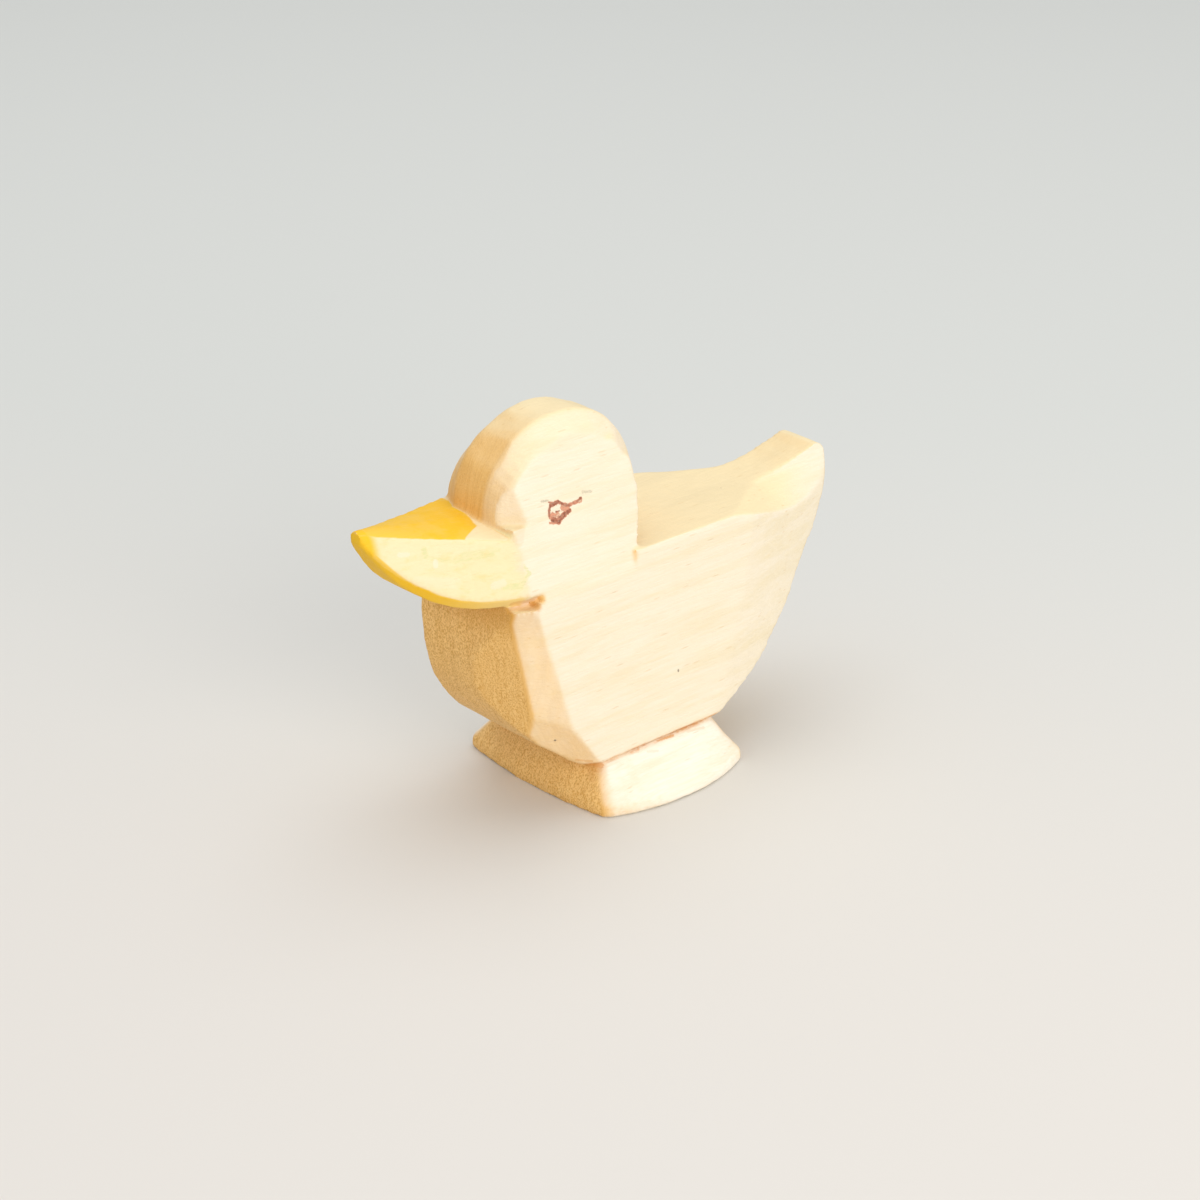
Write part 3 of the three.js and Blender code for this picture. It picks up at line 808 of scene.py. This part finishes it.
def darker(colour, shares):
    """A colour with each of its channels brought down to a share."""
    return [channel * share for channel, share in zip(colour, shares)]


def carved_wood(
    name, finish, fibre_depth, face, rust=(), brushed=(), missed=(), specks=(), edge_share=1.0,
):
    """Pale wood with streaks, tan end grain, the beak's stain and the rusty brown in the cuts;
    painted shade on the foot's front under the belly, grime and painted shade under the beak, and
    painted light on the head's faces turned to the key light.
    """
    graph = start_material(name)
    grain = graph.use("Board Grain")
    stain = graph.use("Yellow Stain")
    toning_and_painted_shade = graph.use("Rust Toning And Painted Shade")
    side_tone = graph.maths("ADD", graph.maths("MULTIPLY", grain["Streaks"], 0.3), graph.maths(
        "MULTIPLY", grain["Fibres"], 0.22,
    ))
    sawn = graph.maths("MULTIPLY", grain["Edge Grain"], edge_share)
    side = graph.mix(sawn, face, finish.edge_grain)
    dark_edge = darker(finish.edge_grain, DARK_EDGE)
    side = graph.mix(side_tone, side, graph.mix(sawn, finish.streak, dark_edge))
    dark_end = darker(finish.end_grain, DARK_ENDS)
    end_tone = graph.maths("ADD", graph.maths("MULTIPLY", grain["Rings"], 0.25), graph.maths(
        "MULTIPLY", grain["Speckle"], 0.85,
    ))
    # The throat's grime and painted shade darken the end grain under the beak
    end_tone = graph.maths("ADD", end_tone, graph.maths("MULTIPLY", toning_and_painted_shade["Throat"], 0.6))
    end = graph.mix(end_tone, finish.end_grain, dark_end)
    # End grain, held back on the head's faces turned to the key light as painted light
    wood = graph.mix(grain["End Grain Less Painted Light"], side, end)
    wood = graph.mix(graph.maths("MULTIPLY", grain["Pores"], 0.22), wood, dark_end)
    yellow = graph.mix(stain["Depth"], finish.thin_stain, finish.stain)
    cover = graph.maths("MULTIPLY", stain["Cover"], graph.ramp(stain["Depth"], 0.0, 1.0, 0.78, 1.0))
    wood = graph.mix(cover, wood, yellow)
    point = shaken(graph, 0.35)
    broken = graph.ramp(grain["Fibres"], 0.1, 0.8, 0.5, 1.0)
    green = graph.maths("MULTIPLY", strokes(graph, point, brushed), broken)
    wood = graph.mix(green, wood, finish.brush)
    wood = graph.mix(graph.maths("MULTIPLY", strokes(graph, point, missed), 0.6), wood, finish.bare)
    # The seam's rust, the rust strokes and the painted shade on the foot's front all take the rusty
    # brown
    browned_and_shaded = graph.maths("MAXIMUM", toning_and_painted_shade["Cover"], strokes(graph, point, rust))
    wood = graph.mix(graph.maths("MULTIPLY", browned_and_shaded, 0.8), wood, finish.toning_and_painted_shade)
    wood = graph.mix(strokes(graph, point, specks), wood, finish.speck)
    relief = graph.maths("ADD", graph.maths("MULTIPLY", grain["Fibres"], 0.7), graph.maths(
        "MULTIPLY", grain["Pores"], -0.6,
    ))
    bump = {"Height": relief, "Distance": fibre_depth, "Strength": 0.6}
    normal = graph.add("ShaderNodeBump", bump)
    roughness = graph.ramp(grain["Fibres"], 0.0, 1.0, 0.62, 0.74)
    return surface(name, wood, roughness, normal)


def painted_eye(name, finish):
    """Thin paint in a few strokes, broken by the grain under it, with its faint guide lines."""
    graph = start_material(name)
    point = graph.vector("MULTIPLY", shaken(graph, EYE_SHAKE), (0, 1, 1))
    paint, pencil = (
        strokes(graph, point, [((0, *start), (0, *end), *rest) for start, end, *rest in marks])
        for marks in (EYE_STROKES, PENCIL_STROKES)
    )
    grain = graph.noise(graph.millimetres((6, 2.2, 6)), detail=3, roughness=0.7)
    broken = graph.ramp(grain, 0.3, 0.55, 0.45, 1.0)
    alpha = graph.maths("MAXIMUM", graph.ramp(paint, 0.0, 0.7), pencil)
    alpha = graph.maths("MULTIPLY", alpha, broken)
    tone = graph.noise(graph.millimetres((3, 3, 3)), detail=2)
    uneven = graph.ramp(tone, 0.35, 0.6, 0.55, 1.0)
    thick = graph.maths("MULTIPLY", graph.ramp(paint, 0.5, 0.95), uneven)
    colour = graph.mix(thick, finish.thin_eye, finish.eye)
    colour = graph.mix(graph.maths("GREATER_THAN", pencil, paint), colour, finish.pencil)
    return surface(name, colour, graph.ramp(grain, 0.3, 0.7, 0.55, 0.75), alpha=alpha)


# Operators


class DUCKLING_OT_finishes(bpy.types.Operator):
    """Make the wood, stain and paint"""

    bl_idname = "duckling.finishes"
    bl_label = "Make Finishes"

    def execute(self, context):
        finish = context.scene.duckling_finish
        make_board_grain()
        make_yellow_stain()
        make_rust_toning()
        make_brush_stroke()
        carved_wood(
            "Bare Wood", finish, 0.05 * MM, finish.bare, BODY_RUST + THROAT_RUST_AND_SHADE, CHEEK_BRUSH,
            specks=BODY_SPECKS,
        )
        carved_wood(
            "Stained Wood", finish, 0.04 * MM, finish.bare, THROAT_RUST_AND_SHADE, BEAK_BRUSH + CHEEK_BRUSH,
            MISSED_SPOTS,
        )
        carved_wood("Foot Wood", finish, 0.05 * MM, finish.painted_lit_foot_face, FOOT_RUST, edge_share=0.0)
        painted_eye("Eye Paint", finish)
        return {"FINISHED"}


class DUCKLING_OT_carve(bpy.types.Operator):
    """Pare and soften the body and the beak, which are one length of wood"""

    bl_idname = "duckling.carve"
    bl_label = "Carve Body and Beak"

    def execute(self, context):
        body = blank("carved_body", "body")
        pare_head(body)
        pare_chest(body)
        combine(body, "UNION", blank("beak_blank", "beak"))
        soften(body, context.scene.duckling_carving, "ORIGINAL_PERLIN")
        only(body)
        bpy.ops.object.duplicate()
        beak = context.object
        beak.name = beak.data.name = "carved_beak"
        ahead = (-FAR, -FAR, THROAT), (FAR, STAIN_EDGE, FAR)
        part_at(body, "DIFFERENCE", *ahead)
        part_at(beak, "INTERSECT", *ahead)
        dress(body, bpy.data.materials["Bare Wood"], "bare_wood", "body")
        dress(beak, bpy.data.materials["Stained Wood"], "stained_wood", "beak")
        return {"FINISHED"}


class DUCKLING_OT_foot(bpy.types.Operator):
    """Pare and soften the foot block"""

    bl_idname = "duckling.foot"
    bl_label = "Carve Foot Block"

    def execute(self, context):
        foot = blank("carved_foot", "base")
        soften(foot, context.scene.duckling_carving, "BLENDER_ORIGINAL")
        part_at(foot, "INTERSECT", (-FAR, -FAR, 0), (FAR, FAR, FAR))
        dress(foot, bpy.data.materials["Foot Wood"], "foot_wood", "base")
        return {"FINISHED"}


class DUCKLING_OT_eyes(bpy.types.Operator):
    """Lay a thin film of paint for an eye on each cheek"""

    bl_idname = "duckling.eyes"
    bl_label = "Paint Eyes"

    def execute(self, context):
        body = bpy.data.objects["carved_body"]
        depth, height = (value * MM for value in EYE_MIDDLE)
        for side, node in ((1, "left_eye"), (-1, "right_eye")):
            bpy.ops.object.select_all(action="DESELECT")
            bpy.ops.mesh.primitive_grid_add(
                x_subdivisions=EYE_FILM_CELLS[0], y_subdivisions=EYE_FILM_CELLS[1], size=1,
                location=(side * (CHEEK_AT_HEAD + FILM_START), depth, height),
                rotation=(0, side * (math.radians(90) - math.atan(CHEEK_SLOPE)), 0),
            )
            film = context.object
            film.name = film.data.name = f"painted_{node}"
            bpy.ops.transform.resize(value=(EYE_FILM[0], EYE_FILM[1], EYE_FILM[0]))
            bpy.ops.object.transform_apply()
            trim_to_strokes(film, EYE_STROKES + PENCIL_STROKES)
            finish_modifier(
                film, "SHRINKWRAP", target=body, wrap_method="NEAREST_SURFACEPOINT",
                wrap_mode="ABOVE_SURFACE", offset=FILM_GAP,
            )
            bpy.ops.object.shade_smooth()
            dress(film, bpy.data.materials["Eye Paint"], "eye_paint", node)
        return {"FINISHED"}


class DUCKLING_OT_stage(bpy.types.Operator):
    """Set the floor, the surround, the lights and the camera"""

    bl_idname = "duckling.stage"
    bl_label = "Set Stage"

    def execute(self, context):
        stage = context.scene.duckling_stage
        bpy.ops.object.select_all(action="DESELECT")
        bpy.ops.mesh.primitive_plane_add(size=6)
        floor = context.object
        floor.name = "floor"
        graph = start_material("Floor")
        tone = graph.noise(graph.millimetres((0.004, 0.004, 0.004)), detail=1)
        away = graph.vector("DOT_PRODUCT", graph.millimetres(), FLOOR_WAY, output=1)
        # Painted light: lighter and warmer towards the camera, paler grey farther away
        colour = graph.mix(graph.ramp(away, *FLOOR_CHANGES), stage.near_floor_painted_light, stage.floor)
        surface("Floor", colour, graph.ramp(tone, 0, 1, 0.8, 0.9))
        floor.data.materials.append(bpy.data.materials["Floor"])

        world = bpy.data.worlds.new("Surround")
        world.use_nodes = True
        background = world.node_tree.nodes["Background"]
        background.inputs["Color"].default_value = (0.95, 0.97, 1, 1)
        background.inputs["Strength"].default_value = stage.surround
        context.scene.world = world

        lights = (
            ("key", (0.55, -0.12, 0.22), 0.4, stage.key, (1, 0.96, 0.9)),
            ("top", (-0.1, 0.1, 0.7), 0.7, stage.key * 1.05, (1, 1, 1)),
        )
        for name, place, size, power, colour in lights:
            aim = Vector((0, 0, 0.02)) - Vector(place)
            bpy.ops.object.light_add(
                type="AREA", location=place, rotation=aim.to_track_quat("-Z", "Y").to_euler(),
            )
            light = context.object
            light.name = name
            light.data.size = size
            light.data.energy = power
            light.data.color = colour

        bpy.ops.object.camera_add(
            location=stage.place, rotation=(math.radians(90) - stage.elevation, 0, stage.azimuth),
        )
        camera = context.object
        camera.data.lens = stage.lens
        camera.data.clip_start = 0.01
        context.scene.camera = camera
        context.scene.view_settings.view_transform = "Standard"
        return {"FINISHED"}


class DUCKLING_PT_panel(bpy.types.Panel):
    """Lists the steps and their sizes and colours"""

    bl_idname = "DUCKLING_PT_panel"
    bl_label = "Carved Duckling"
    bl_space_type = "VIEW_3D"
    bl_region_type = "UI"
    bl_category = "Duckling"

    def draw(self, context):
        for label, _ in GROUPS:
            group = getattr(context.scene, label)
            box = self.layout.box()
            for name in group.__annotations__:
                box.prop(group, name)
        for step in STEPS:
            self.layout.operator(step.bl_idname)


STEPS = (
    DUCKLING_OT_finishes, DUCKLING_OT_carve, DUCKLING_OT_foot, DUCKLING_OT_eyes, DUCKLING_OT_stage,
)
GROUPS = (
    ("duckling_carving", DucklingCarving),
    ("duckling_finish", DucklingFinish),
    ("duckling_stage", DucklingStage),
)


def register():
    """Adds the classes, and their settings to the scene."""
    for name, group in GROUPS:
        bpy.utils.register_class(group)
        setattr(bpy.types.Scene, name, bpy.props.PointerProperty(type=group))
    for cls in (*STEPS, DUCKLING_PT_panel):
        bpy.utils.register_class(cls)


def unregister():
    """Takes the classes and their settings away again."""
    for cls in (DUCKLING_PT_panel, *reversed(STEPS)):
        bpy.utils.unregister_class(cls)
    for name, group in reversed(GROUPS):
        delattr(bpy.types.Scene, name)
        bpy.utils.unregister_class(group)


def main():
    """Registers the classes and runs every step in order."""
    register()
    bpy.ops.duckling.finishes()
    bpy.ops.duckling.carve()
    bpy.ops.duckling.foot()
    bpy.ops.duckling.eyes()
    bpy.ops.duckling.stage()


if __name__ == "__main__":
    main()
